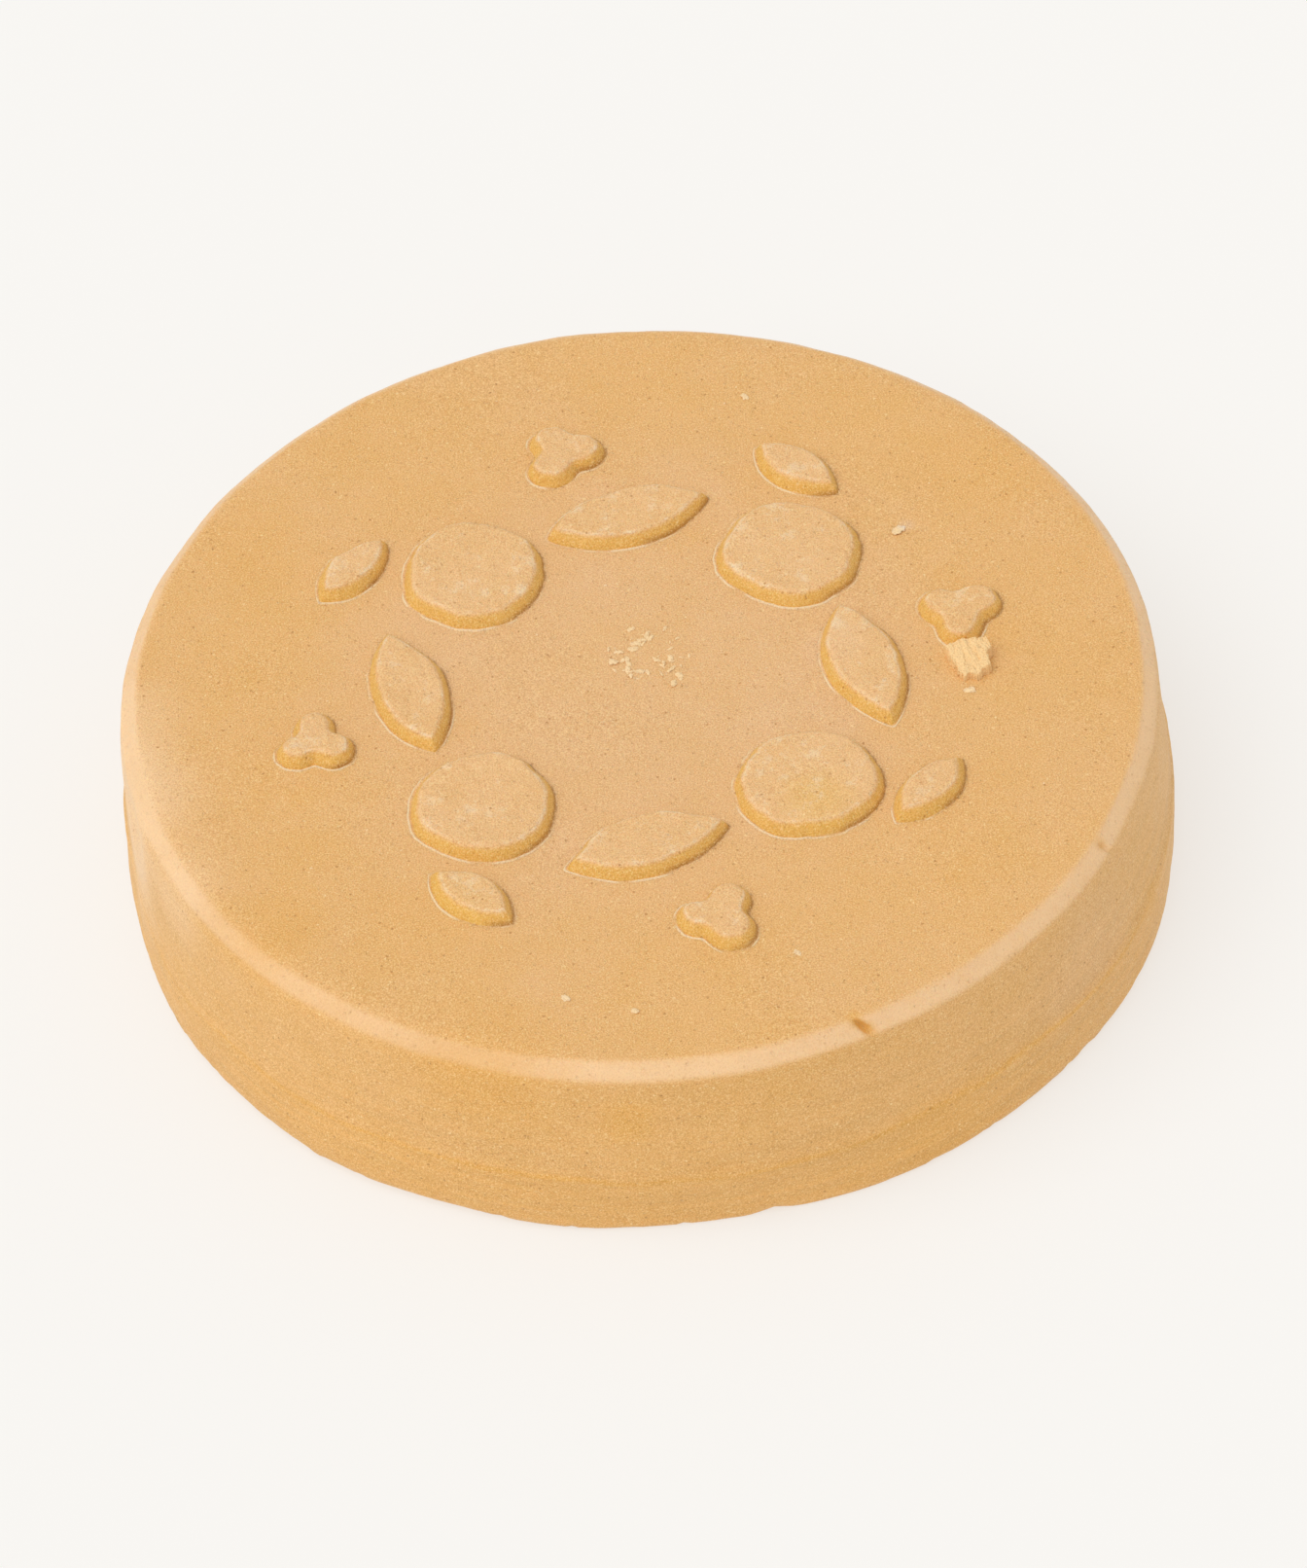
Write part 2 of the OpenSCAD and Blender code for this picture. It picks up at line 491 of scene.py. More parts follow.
    def gritty(self, tree: TreeWriter, place: Socket, marks: Marks, skin: Socket) -> Socket:
        """Strews fine grain over a colour: cream where it is light, brown where it is dark.

        Args:
            tree: The tree that is written to.
            place: The point on the piece, in millimetres.
            marks: What the mesh says about the point.
            skin: The colour.

        Returns:
            The colour with its grain.
        """
        grit = tree.total(
            tree.product(tree.noise(place, 0.2, detail=3, seed=7.7, roughness=0.85), self.coarse_grit),
            tree.product(tree.noise(place, 0.1, detail=1, seed=2.8), self.fine_grit),
        )
        smooth = tree.math("MULTIPLY_ADD", marks[Mark.BEVEL], -0.6, 1.0)
        shifted = tree.vector("ADD", place, (7.0, 3.0, 5.0))
        bright = tree.product(self.specks(tree, shifted, 0.9, 0.13), self.speck_grit)
        pale = tree.total(tree.math("MAXIMUM", grit, 0.0), bright)
        dark = tree.total(
            tree.product(tree.math("MINIMUM", grit, 0.0), -self.dark_grit),
            tree.product(self.specks(tree, place, 1.0, 0.12), self.speck_grit),
        )
        lit = tree.mix(tree.capped(tree.product(pale, smooth)), skin, self.fleck, "RGBA")
        return tree.mix(tree.capped(tree.product(dark, smooth)), lit, self.pit_and_shade, "RGBA")

    @staticmethod
    def specks(tree: TreeWriter, place: Socket, apart: float, size: float) -> Socket:
        """Returns 1 inside scattered round specks, whose size is a share of how far apart they are."""
        return tree.ramp(tree.cells(place, apart), size, 0.5 * size, 0.0, 1.0)

    def streak_at(self, tree: TreeWriter, place: Socket, marks: Marks) -> Socket:
        """Returns the faint level streaks that the mould left round the side."""
        x, y, z = tree.split(place)
        layered = tree.join(tree.product(x, 0.06), tree.product(y, 0.06), z)
        side = tree.rest(tree.math("MAXIMUM", marks[Mark.TOP], marks[Mark.RISE]))
        low = tree.ramp(z, *STREAKY_HEIGHTS, 0.35, 1.0)
        return tree.product(tree.noise(layered, 0.7, detail=4, seed=6.6, roughness=0.65), side, low)

    def sheen(self, tree: TreeWriter, place: Socket, marks: Marks) -> Socket:
        """Returns how rough the surface is: smoother where it is rubbed, and uneven all over."""
        uneven = tree.noise(place, 0.9, detail=3, seed=2.2)
        rough = tree.math("MULTIPLY_ADD", uneven, 0.09, self.roughness)
        return tree.math("MULTIPLY_ADD", marks[Mark.BEVEL], -0.06, rough)

    def grain(self, tree: TreeWriter, place: Socket, marks: Marks) -> Socket:
        """Builds the fine relief of the surface: grain, pits, streaks and crumble.

        Args:
            tree: The tree that is written to.
            place: The point on the piece, in millimetres.
            marks: What the mesh says about the point.

        Returns:
            The bumped normal.
        """
        fine = tree.noise(place, 0.24, detail=3, seed=9.4, roughness=0.7)
        coarse = tree.noise(place, 0.9, detail=3, seed=3.6)
        pits = self.specks(tree, place, 0.6, 0.18)
        torn = tree.noise(place, 0.7, detail=4, seed=1.9, roughness=0.7)
        crumbly = tree.cells(place, 0.35)
        height = tree.total(
            tree.product(fine, self.fine_height),
            tree.product(coarse, self.coarse_height),
            tree.product(pits, self.pit_height),
            tree.product(self.streak_at(tree, place, marks), self.streak_height),
            tree.product(torn, marks[Mark.RISE], self.torn_height),
            tree.product(crumbly, self.crumble),
        )
        bump = tree.node("ShaderNodeBump")
        bump.inputs["Strength"].default_value = 1.0
        bump.inputs["Distance"].default_value = MM
        tree.feed(bump.inputs["Height"], height)
        return bump.outputs[0]


class GeometryTree(TreeWriter):
    """A Geometry Nodes tree with named inputs, which a modifier runs on a mesh."""

    def __init__(self, name: str) -> None:
        """Makes an empty tree that takes and gives a geometry."""
        super().__init__(bpy.data.node_groups.new(name, "GeometryNodeTree"))
        for way in ("INPUT", "OUTPUT"):
            self.tree.interface.new_socket("Geometry", in_out=way, socket_type="NodeSocketGeometry")
        self.sources = self.node("NodeGroupInput")

    def size(self, name: str, kind: str = "Float") -> Socket:
        """Adds a named input and returns it.

        Args:
            name: The input's name.
            kind: Float, Int, Vector or Material.

        Returns:
            The input, as nodes in the tree read it.
        """
        self.tree.interface.new_socket(name, in_out="INPUT", socket_type=f"NodeSocket{kind}")
        return self.sources.outputs[name]

    def place(self) -> Socket:
        """Returns the position field."""
        return self.node("GeometryNodeInputPosition").outputs[0]

    def count(self, geometry: Socket) -> Socket:
        """Returns how many points a mesh has."""
        made = self.node("GeometryNodeAttributeDomainSize", component="MESH")
        self.feed(made.inputs[0], geometry)
        return made.outputs["Point Count"]

    def lattice(self, steps: Socket, rings: Socket) -> tuple[Socket, Socket, Socket]:
        """Lays out columns of points that wrap round to where they began.

        Args:
            steps: How many columns there are, not counting the one that closes the round.
            rings: How many points each column has.

        Returns:
            The mesh, and the fields of each point's column and ring.
        """
        grid = self.node("GeometryNodeMeshGrid")
        self.feed(grid.inputs["Vertices X"], self.math("ADD", steps, 1))
        self.feed(grid.inputs["Vertices Y"], rings)
        index = self.node("GeometryNodeInputIndex").outputs[0]
        column = self.math("FLOOR", self.math("DIVIDE", index, rings))
        ring = self.math("SUBTRACT", index, self.product(column, rings))
        return grid.outputs["Mesh"], column, ring

    def sample(self, geometry: Socket, value: Socket, index: Socket, kind: str) -> Socket:
        """Returns a value read from one point of a geometry."""
        made = self.node("GeometryNodeSampleIndex", data_type=kind, domain="POINT")
        for socket, given in zip(made.inputs, (geometry, value, index)):
            self.feed(socket, given)
        return made.outputs[0]

    def named(self, name: str, kind: str = "FLOAT") -> Socket:
        """Returns the field of a named attribute."""
        made = self.node("GeometryNodeInputNamedAttribute", data_type=kind)
        made.inputs["Name"].default_value = name
        return made.outputs["Attribute"]

    def through(self, geometry: Socket, kind: str, **values: Any) -> Socket:
        """Passes a geometry through one node and returns what comes out.

        Args:
            geometry: The geometry that goes in first.
            kind: The node's type.
            values: Values for the node's inputs, by name, with _ for a space.

        Returns:
            The geometry that comes out.
        """
        made = self.node(kind)
        self.feed(made.inputs[0], geometry)
        for name, value in values.items():
            self.feed(made.inputs[name.replace("_", " ")], value)
        return made.outputs[0]

    def shape(self, mesh: Socket, place: Socket, marks: Marks) -> None:
        """Moves a mesh's points to their places, writes their marks and ends the tree."""
        shaped = self.through(mesh, "GeometryNodeSetPosition", Position=place)
        for mark, value in marks.items():
            shaped = self.through(
                shaped, "GeometryNodeStoreNamedAttribute", Name=mark.value, Value=value
            )
        self.close(shaped)

    def close(self, geometry: Socket) -> None:
        """Merges seams and poles, then ends the tree in Realize Instances and Set Material."""
        merged = self.through(geometry, "GeometryNodeMergeByDistance", Distance=2 * SAME)
        smooth = self.through(merged, "GeometryNodeSetShadeSmooth")
        real = self.through(smooth, "GeometryNodeRealizeInstances")
        finish = self.size("Finish", "Material")
        finished = self.through(real, "GeometryNodeSetMaterial", Material=finish)
        self.feed(self.node("NodeGroupOutput").inputs[0], finished)

    def run(self, name: str, mesh: bpy.types.Mesh, **values: Any) -> bpy.types.Object:
        """Runs the tree on a mesh and returns the result as a plain piece.

        Args:
            name: The new piece's name.
            mesh: The mesh that the tree works on.
            values: Values for the tree's named inputs, with _ for a space.

        Returns:
            The piece, with no modifier left on it and its faces pointing outwards.
        """
        source = added(f"{name}_source", mesh)
        modifier = source.modifiers.new(self.tree.name, "NODES")
        modifier.node_group = self.tree
        for item in self.tree.interface.items_tree:
            key = item.name.replace(" ", "_")
            if item.in_out == "INPUT" and key in values:
                modifier[item.identifier] = values[key]
        depsgraph = bpy.context.evaluated_depsgraph_get()
        made = bpy.data.meshes.new_from_object(
            source.evaluated_get(depsgraph), preserve_all_data_layers=True, depsgraph=depsgraph
        )
        bpy.data.objects.remove(source)
        return piece_of(name, made)


def piece_of(name: str, mesh: bpy.types.Mesh) -> bpy.types.Object:
    """Makes a scene object of a closed mesh, with its faces turned outwards."""
    shape = bmesh.new()
    shape.from_mesh(mesh)
    bmesh.ops.recalc_face_normals(shape, faces=shape.faces)
    shape.to_mesh(mesh)
    shape.free()
    mesh.name = name
    return added(name, mesh)


def fit_out(piece: bpy.types.Object, slot: str, *nodes: str) -> None:
    """Lets a piece ride on the puck and stand for its CAD nodes."""
    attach(piece, "root")
    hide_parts(*nodes)
    LOG.info("%s: %d faces, for %s", piece.name, len(piece.data.polygons), ", ".join(nodes))


def line_mesh(name: str, points: np.ndarray, closed: bool) -> bpy.types.Mesh:
    """Makes a mesh of edges that run through the points in order."""
    mesh = bpy.data.meshes.new(name)
    last = len(points) if closed else len(points) - 1
    mesh.from_pydata(points.tolist(), [(i, (i + 1) % len(points)) for i in range(last)], [])
    return mesh


def corners_of(node: str) -> np.ndarray:
    """Returns the corners of a CAD node's mesh, one row each."""
    return np.array([v.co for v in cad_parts[node].data.vertices], float)


# How wide the top face's swells and ripples are, and how high a ripple is beside a swell
SWELL_WIDTH = 13 * MM
RIPPLE_WIDTH = 2.4 * MM
RIPPLE_SHARE = 0.3


def swell_of_top(tree: TreeWriter, place: Socket, swell: Any) -> Socket:
    """Returns how far the top face stands above or below its plane at a place."""
    flat = tree.levelled(place)
    slow = tree.noise(flat, SWELL_WIDTH, detail=1, seed=3.0)
    quick = tree.product(tree.noise(flat, RIPPLE_WIDTH, detail=3, seed=5.0), RIPPLE_SHARE)
    return tree.product(tree.math("ADD", slow, quick), swell)


@dataclass(frozen=True)
class Dent:
    """A place on the side where soap is knocked in, or stands out where its depth is negative.

    Its azimuth and its slant are in degrees. The width is half its size along the side, and the
    reach is half its size up the side.
    """

    azimuth: float
    height: float
    width: float
    reach: float
    depth: float
    slant: float = 0.0


class TurnedCakeTree(GeometryTree):
    """Turns a profile round the axis, then rubs, swells and dents what it made."""

    # Degrees beside a nick that its finer mesh takes in, and how far the steps are drawn together
    nick_span = 7.0
    nick_pull = 0.78
    # Azimuths where the rim is rubbed softest, rubbed at the back, and kept crisp
    softest_rim = -138
    rubbed_rim = 95
    crispest_rim = -72
    # How far the soap stands out of its true shape, in lumps, along the rim and in small roughness
    lump_height = 0.16 * MM
    rim_height = 0.22 * MM
    rough_height = 0.05 * MM
    # The mould line's height, how far it wanders, and how much of the side moves with it
    mould_line = 5.3 * MM
    line_wander = 0.3 * MM
    line_reach = 1.6 * MM
    # Height that the chips of the foot's edge reach up to
    chip_top = 1.4 * MM
    # How far a knock near the top pushes soap down, beside how far it pushes it in
    downward_share = 0.6

    def __init__(self, radius: float, height: float, dents: list[Dent],
                 nicks: tuple[float, ...]) -> None:
        """Writes the tree.

        Args:
            radius: The cake's largest radius.
            height: The height of its top face.
            dents: The knocks on its side.
            nicks: The azimuths where narrow knocks need a finer mesh.
        """
        super().__init__("turned_cake")
        self.radius, self.height = radius, height
        profile = self.sources.outputs["Geometry"]
        steps = self.size("Steps round", "Int")
        lattice, column, ring = self.lattice(steps, self.count(profile))
        turn = self.gathered(self.product(self.math("DIVIDE", column, steps), math.tau), nicks)
        outward = self.join(self.math("COSINE", turn), self.math("SINE", turn), 0.0)
        marks = {
            mark: self.sample(profile, self.named(mark.value), ring, "FLOAT")
            for mark in (Mark.TOP, Mark.BEVEL, Mark.FOOT)
        }
        rubbed = self.rubbing(outward)
        crisp = self.sample(profile, self.place(), ring, "FLOAT_VECTOR")
        worn = self.sample(profile, self.named("worn_place", "FLOAT_VECTOR"), ring, "FLOAT_VECTOR")
        r, _, z = self.split(self.mix(rubbed, crisp, worn, "VECTOR"))
        place = self.vector("ADD", self.scaled(outward, r), self.join(0.0, 0.0, z))
        place = self.vector("ADD", place, self.unevenness(place, outward, marks))
        for dent in dents:
            place = self.vector("ADD", place, self.knock(place, dent))
        self.shape(lattice, place, {**marks, Mark.RUBBED: rubbed})

    def gathered(self, turn: Socket, nicks: tuple[float, ...]) -> Socket:
        """Returns the turn of each step, with the steps drawn closer together near the nicks."""
        drawn = turn
        for azimuth in nicks:
            off = self.math("SUBTRACT", turn, math.radians(azimuth % 360))
            share = self.math("DIVIDE", off, math.radians(self.nick_span))
            near = self.math("EXPONENT", self.product(share, share, -1.0))
            drawn = self.math("SUBTRACT", drawn, self.product(off, near, self.nick_pull))
        return drawn

    def rubbing(self, outward: Socket) -> Socket:
        """Returns how far the rim is rubbed round, from crisp to soft, all the way round."""
        patches = self.ramp(self.noise(outward, 0.9, detail=1.5, seed=self.size("Rub seed")), 0.0, 0.5)
        softest = self.ramp(self.vector("DOT_PRODUCT", outward, around(self.softest_rim)), 0.74, 0.92)
        back = self.vector("DOT_PRODUCT", outward, around(self.rubbed_rim))
        rubbed = self.math("MAXIMUM", softest, self.ramp(back, 0.2, 0.7, 0.0, 0.6))
        most = self.math("MAXIMUM", self.product(patches, 0.5), rubbed)
        crisp = self.vector("DOT_PRODUCT", outward, around(self.crispest_rim))
        kept = self.ramp(crisp, 0.72, 0.92, 1.0, 0.1)
        return self.math("MAXIMUM", self.product(most, kept), self.product(softest, 0.9))

    def unevenness(self, place: Socket, outward: Socket, marks: Marks) -> Socket:
        """Returns how each point of the cast soap departs from the true shape."""
        z = self.split(place)[2]
        swell = self.size("Top swell")
        out_of_round = self.size("Out of round")
        ragged = self.size("Foot raggedness")
        reach = self.math("DIVIDE", self.vector("LENGTH", self.levelled(place)), self.radius)
        outer = self.ramp(reach, 0.85, 0.95)
        bend = self.product(self.noise(outward, 1.1, detail=2, seed=8.0), out_of_round, reach)
        side = self.product(outer, self.rest(marks[Mark.TOP]))
        lumps = self.product(self.noise(place, 6 * MM, detail=3, seed=2.0), side, self.lump_height)
        rim = self.product(self.noise(outward, 0.22, detail=2, seed=6.0), marks[Mark.BEVEL])
        edge = self.product(rim, self.rim_height)
        chips = self.ramp(self.noise(place, 1.2 * MM, detail=4, seed=4.0, roughness=0.7), 0.05, 0.6)
        low = self.ramp(z, self.chip_top, 0.1 * MM)
        foot_edge = self.product(low, outer, chips, ragged, -1.0)
        rough = self.product(self.noise(place, 1.3 * MM, detail=2, seed=11.0), side, self.rough_height)
        sideways = self.scaled(outward, self.total(bend, lumps, edge, foot_edge, rough))
        lift = self.product(swell_of_top(self, place, swell), marks[Mark.TOP])
        off_line = self.math("ABSOLUTE", self.math("SUBTRACT", z, self.mould_line))
        wander = self.product(
            self.noise(outward, 0.35, detail=2, seed=1.0),
            self.ramp(off_line, self.line_reach, 0.0), outer, self.line_wander,
        )
        return self.vector("ADD", sideways, self.join(0.0, 0.0, self.math("ADD", lift, wander)))

    def knock(self, place: Socket, dent: Dent) -> Socket:
        """Returns how far one dent pushes each point.

        Args:
            place: The points.
            dent: The dent.

        Returns:
            The push, inwards, and downwards near the top.
        """
        outward = around(dent.azimuth)
        slant = Matrix.Rotation(math.radians(dent.slant), 3, outward)
        along = slant @ Vector((-outward.y, outward.x, 0.0))
        upward = slant @ Vector((0.0, 0.0, 1.0))
        middle = outward * self.radius + Vector((0.0, 0.0, dent.height))
        offset = self.vector("SUBTRACT", place, middle)
        shares = [
            self.vector("DOT_PRODUCT", offset, along / dent.width),
            self.vector("DOT_PRODUCT", offset, outward / (2 * dent.reach)),
            self.vector("DOT_PRODUCT", offset, upward / dent.reach),
        ]
        share = self.ramp(self.vector("LENGTH", self.join(*shares)), 0.0, 1.0, 1.0, 0.0)
        near_top = dent.height / self.height
        push = -outward - Vector((0.0, 0.0, self.downward_share * near_top))
        return self.scaled(push, self.product(share, dent.depth))


@dataclass
class Cake:
    """The cast body of the puck, turned from the CAD cake's own profile."""

    line_step: float = 0.02 * MM
    mark_edge: float = 0.16 * MM
    crisp_edge: float = 0.13 * MM
    rubbed_edge: float = 0.75 * MM
    steps_round: int = 480
    top_swell: float = 0.07 * MM
    out_of_round: float = 0.12 * MM
    foot_raggedness: float = 0.5 * MM
    finish: SoapFinish = SoapFinish("cast_soap")
    nicks: tuple[float, ...] = (-67.8, -30.0, -103.0)
    dents: list[Dent] = field(default_factory=lambda: [
        Dent(-172.0, 4.0 * MM, 15.0 * MM, 9.5 * MM, 0.65 * MM),
        Dent(-128.0, 1.0 * MM, 10.0 * MM, 7.0 * MM, -0.28 * MM),
        Dent(-85.0, 0.5 * MM, 14.0 * MM, 5.5 * MM, 0.55 * MM),
        Dent(-28.0, 2.0 * MM, 15.0 * MM, 8.0 * MM, -0.34 * MM),
        Dent(-67.6, 14.2 * MM, 0.38 * MM, 1.45 * MM, 1.0 * MM, slant=46),
        Dent(-30.0, 14.1 * MM, 0.42 * MM, 1.0 * MM, 0.85 * MM, slant=30),
        Dent(-169.0, 11.2 * MM, 4.2 * MM, 2.6 * MM, 0.6 * MM),
        Dent(-128.5, 14.1 * MM, 0.7 * MM, 0.8 * MM, -0.3 * MM),
        Dent(-105.0, 8.5 * MM, 0.35 * MM, 0.35 * MM, 0.9 * MM),
        Dent(-101.4, 9.1 * MM, 0.55 * MM, 0.3 * MM, 0.9 * MM, slant=15),
        Dent(-79.0, 0.2 * MM, 2.2 * MM, 0.8 * MM, 0.35 * MM),
        Dent(-129.8, 0.4 * MM, 1.4 * MM, 0.7 * MM, -0.12 * MM),
        Dent(-84.5, 5.9 * MM, 5.0 * MM, 0.4 * MM, 0.2 * MM, slant=2),
        Dent(64.0, 13.0 * MM, 1.2 * MM, 1.6 * MM, 0.5 * MM, slant=35),
        Dent(138.0, 3.0 * MM, 2.0 * MM, 1.4 * MM, 0.4 * MM),
        Dent(20.0, 6.5 * MM, 1.0 * MM, 0.6 * MM, 0.35 * MM, slant=-10),
    ])

    def rings(self) -> np.ndarray:
        """Reads the CAD cake's profile.

        Returns:
            The radius and the height of each ring of corners, from the middle of the foot up over
            the side to the middle of the top.
        """
        corners = corners_of("cake")
        flat = np.hypot(corners[:, 0], corners[:, 1])
        pairs = np.unique(np.round(np.column_stack([corners[:, 2], flat]), 6), axis=0)
        outer = [(pairs[pairs[:, 0] == z, 1].max(), z) for z in np.unique(pairs[:, 0])]
        return np.array([(0.0, outer[0][1]), *outer, (0.0, outer[-1][1])])

    def profile(self) -> bpy.types.Mesh:
        """Draws the profile as a line of points, close together where the shape turns.

        Returns:
            The line, which carries the rubbed profile and the marks on its points.
        """
        rings = self.rings()
        lengths = np.hypot(*np.diff(rings, axis=0).T)
        along = np.concatenate([[0.0], np.cumsum(lengths)])
        step = self.line_step
        s = np.arange(0.0, along[-1], step)
        line = np.column_stack([np.interp(s, along, rings[:, 0]), np.interp(s, along, rings[:, 1])])
        top, widest = rings[-1, 1], rings[:, 0].max()
        second = np.sort(rings[rings[:, 0] > 0.5 * widest, 1])[-2]
        turn = rings[rings[:, 0] >= widest - SAME, 1].max()
        is_top = line[:, 1] >= top - SAME
        is_bevel = (line[:, 1] > second) & ~is_top
        is_foot = (line[:, 1] < turn) & (line[:, 1] > 0)
        marks = {Mark.TOP: is_top, Mark.BEVEL: is_bevel, Mark.FOOT: is_foot}
        picked = self.picks(line, is_bevel, step)
        crisp = self.smoothed(line, self.crisp_edge / step)[picked]
        worn = self.smoothed(line, self.rubbed_edge / step)[picked]
        crisp[[0, -1], 0] = worn[[0, -1], 0] = 0.0
        mesh = line_mesh("cake_profile", np.insert(crisp, 1, 0.0, axis=1), closed=False)
        place = mesh.attributes.new("worn_place", "FLOAT_VECTOR", "POINT")
        place.data.foreach_set("vector", np.insert(worn, 1, 0.0, axis=1).ravel())
        for mark, share in marks.items():
            soft = self.smoothed(share[:, None].astype(float), self.mark_edge / step)
            written = mesh.attributes.new(mark.value, "FLOAT", "POINT")
            written.data.foreach_set("value", soft[picked, 0])
        return mesh

    @staticmethod
    def picks(line: np.ndarray, is_bevel: np.ndarray, step: float) -> np.ndarray:
        """Returns which points of the fine line are kept, more of them near the bevel and the foot."""
        s = np.arange(len(line)) * step
        bevel = s[is_bevel]
        to_bevel = np.maximum(np.maximum(bevel[0] - s, s - bevel[-1]), 0.0)
        gap = np.interp(to_bevel, [0.0, 1.5 * MM, 4 * MM], [0.11 * MM, 0.2 * MM, 0.36 * MM])
        under = (line[:, 1] < SAME) & (line[:, 0] < line[:, 0].max() - 2 * MM)
        gap[under] = 1.6 * MM
        share = np.concatenate([[0.0], np.cumsum(step / gap)[:-1]])
        wanted = np.linspace(0.0, share[-1], int(share[-1]) + 1)
        return np.unique(np.searchsorted(share, wanted).clip(0, len(line) - 1))

    @staticmethod
    def smoothed(values: np.ndarray, sigma: float) -> np.ndarray:
        """Returns rows of values blurred along the line, with its two ends kept in place."""
        reach = int(4 * sigma) + 1
        offsets = np.arange(-reach, reach + 1)
        weights = np.exp(-0.5 * (offsets / sigma) ** 2)
        padded = np.pad(values, ((reach, reach), (0, 0)), mode="reflect", reflect_type="odd")
        columns = [np.convolve(column, weights / weights.sum(), "valid") for column in padded.T]
        return np.column_stack(columns)

    def build(self) -> bpy.types.Object:
        """Makes the cake and returns it."""
        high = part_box("cake")[1]
        tree = TurnedCakeTree(high.x, high.z, self.dents, self.nicks)
        piece = tree.run(
            "soap_cake", self.profile(), Steps_round=self.steps_round, Rub_seed=12.0,
            Top_swell=self.top_swell, Out_of_round=self.out_of_round,
            Foot_raggedness=self.foot_raggedness, Finish=self.finish.material(),
        )
        fit_out(piece, "soap_body", "cake")
        return piece


class RaisedMotifTree(GeometryTree):
    """Raises a worn, soft-shouldered pad inside an outline that lies on the top face."""

    # Azimuths that the painted shade in the crease at a motif's foot faces (away from the key light),
    # and that the pale flash, partly a painted highlight, faces (towards it)
    shade_side = 18
    flash_highlight_side = -128
    # How far the skirt's edge sinks into the top face, and how far the pad's underside lies in it
    sink = 0.12 * MM
    root = 0.5 * MM
    # How high the thread of flash stands, and how far it runs from the outline
    flash_height = 0.1 * MM
    flash_gap = 0.16 * MM
    # Power of the shoulder's curve, and how high a motif's worn top stands beside its CAD height
    shoulder_power = 1.8
    top_level = 0.92
    # Share of the wall's width where the top edge runs, and how far to each side it is rubbed
    crest_at = 0.8
    crest_reach = 0.16

    def __init__(self) -> None:
        """Writes the tree."""
        super().__init__("raised_motif")
        outline = self.sources.outputs["Geometry"]
        centre = self.size("Centre", "Vector")
        inner = self.size("Rings inside", "Int")
        outer = self.size("Rings outside", "Int")
        rise = self.size("Rise")
        wall = self.size("Wall width")
        skirt = self.size("Skirt")
        swell = self.size("Top swell")
        outline = self.wobbled(outline, centre)
        spokes = self.count(outline)
        rings = self.math("ADD", self.math("ADD", inner, outer), 3)
        lattice, column, ring = self.lattice(spokes, rings)
        wrapped = self.math("MODULO", column, spokes)
        rim = self.sample(outline, self.place(), wrapped, "FLOAT_VECTOR")
        spoke = self.vector("SUBTRACT", rim, centre)
        outward = self.vector("NORMALIZE", spoke)
        share = self.capped(self.math("DIVIDE", ring, inner))
        spread = self.math("SINE", self.product(share, math.pi / 2))
        past = self.math("DIVIDE", self.math("SUBTRACT", ring, inner), outer)
        past = self.capped(self.math("MAXIMUM", past, 0.0))
        beyond = self.product(past, skirt)
        flat = self.vector("ADD", centre, self.scaled(spoke, spread))
        flat = self.vector("ADD", flat, self.scaled(outward, beyond))
        is_last = self.math("GREATER_THAN", ring, self.math("SUBTRACT", rings, 1.5))
        is_under = self.math("GREATER_THAN", ring, self.math("SUBTRACT", rings, 2.5))
        flat = self.mix(is_last, flat, centre, "VECTOR")
        inside = self.math("LESS_THAN", ring, self.math("ADD", inner, 0.5))
        depth = self.product(self.distance(outline, flat), inside)
        height, steep, crest = self.shoulder(flat, depth, rise, wall)
        # The flash is raised and painted pale only where it faces the key light: partly real flash,
        # partly a painted highlight
        flash_and_highlight = self.flash_and_highlight(flat, beyond, inside, outward)
        # Painted shade: a dark band round the motif's foot, only on the side away from the key light
        foot_shade = self.ramp(self.math("ADD", depth, beyond), 0.03 * MM, 0.2 * MM, 1.0, 0.0)
        facing = self.vector("DOT_PRODUCT", outward, around(self.shade_side))
        crease_shade_line = self.product(foot_shade, self.ramp(facing, -0.2, 0.45))
        lift = self.total(
            height, self.product(flash_and_highlight, self.flash_height),
            self.product(self.ramp(past, 0.3, 1.0), -self.sink),
            swell_of_top(self, flat, swell), self.product(is_under, -self.root),
        )
        place = self.vector("ADD", flat, self.join(0.0, 0.0, lift))
        risen = self.math("DIVIDE", height, rise)
        self.shape(lattice, place, {
            Mark.RISE: risen, Mark.STEEP: steep, Mark.CREST: crest,
            Mark.FLASH: flash_and_highlight, Mark.CREASE: crease_shade_line, Mark.TOP: self.rest(risen),
        })

    def wobbled(self, outline: Socket, centre: Socket) -> Socket:
        """Returns the outline with its line made uneven, as a soft mould and wear leave it."""
        place = self.place()
        outward = self.vector("NORMALIZE", self.vector("SUBTRACT", place, centre))
        slow = self.noise(place, 5.5 * MM, detail=1, seed=self.size("Wobble seed"))
        quick = self.noise(place, 0.9 * MM, detail=3, seed=9.0)
        push = self.product(self.math("MULTIPLY_ADD", quick, 0.16, slow), self.size("Wobble"))
        return self.through(outline, "GeometryNodeSetPosition", Offset=self.scaled(outward, push))

    def distance(self, outline: Socket, place: Socket) -> Socket:
        """Returns how far each point is from the outline."""
        made = self.node("GeometryNodeProximity", target_element="EDGES")
        self.feed(made.inputs[0], outline)
        self.feed(made.inputs["Sample Position"], place)
        return made.outputs["Distance"]

